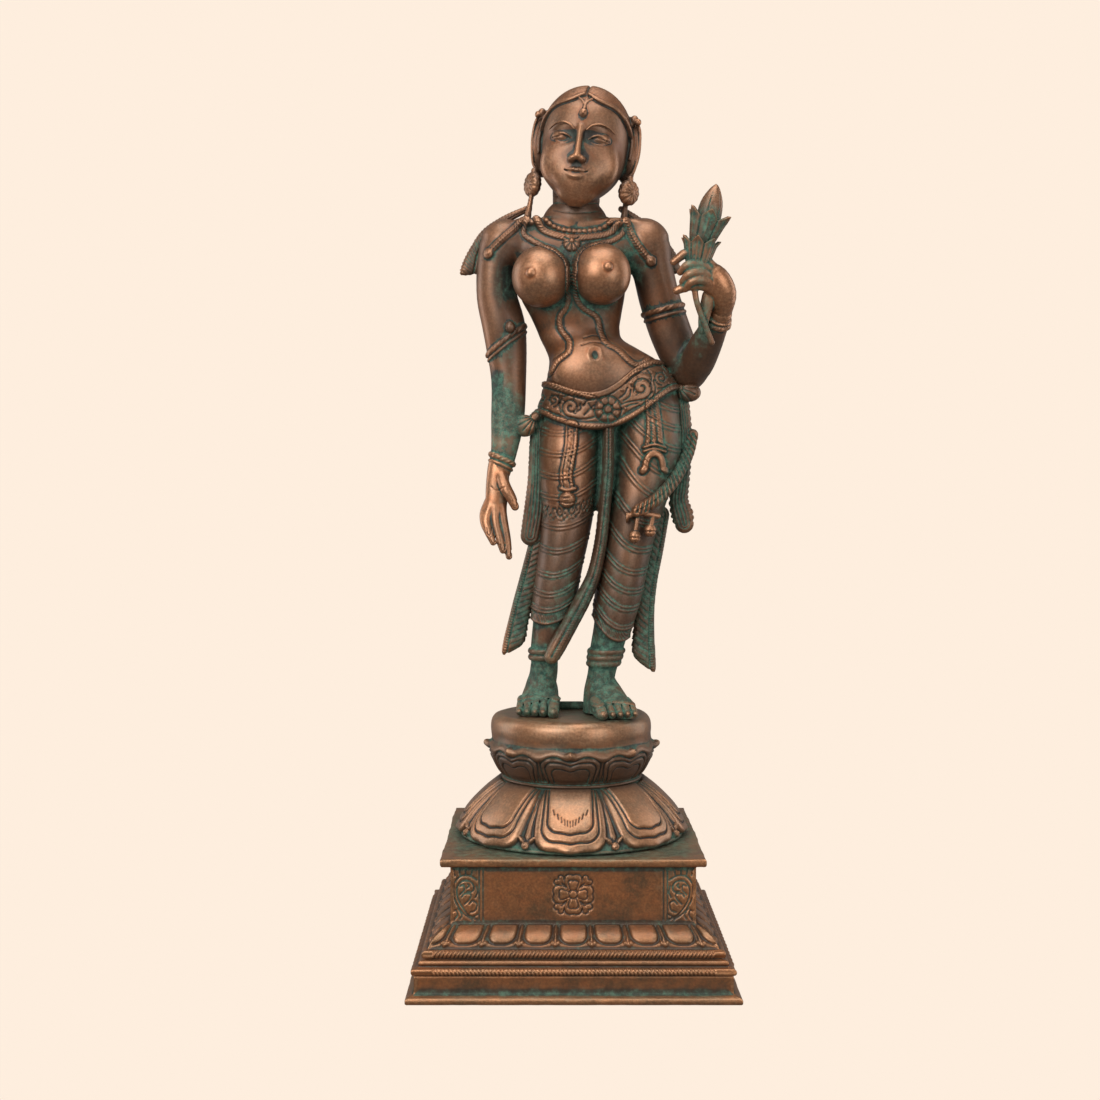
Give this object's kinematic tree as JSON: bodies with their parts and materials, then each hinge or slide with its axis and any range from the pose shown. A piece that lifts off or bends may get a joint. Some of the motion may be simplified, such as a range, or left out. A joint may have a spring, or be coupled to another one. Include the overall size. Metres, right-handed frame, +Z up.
{
  "type": "apsara figure",
  "caption": "Standing apsara in cast bronze with a lotus bud in a raised hand, on a round double-lotus pedestal and a square stepped plinth.",
  "frame": {"origin": "centre of the plinth's underside, where it stands", "axes": "+Z up through the figure, which faces -Y; +X to the viewer's right"},
  "size_m": [0.3091, 0.306, 0.8684],
  "materials": {
    "figure_bronze": "cast copper-brown bronze, rubbed bright on the high places, verdigris in the folds",
    "pedestal_bronze": "cast brown bronze, dark in the grooves",
    "plinth_bronze": "cast brown bronze, dark in the chased relief"
  },
  "bodies": {
    "root": {"figure": "figure_bronze", "lotus_pedestal": "pedestal_bronze", "plinth": "plinth_bronze"}
  },
  "joints": []
}
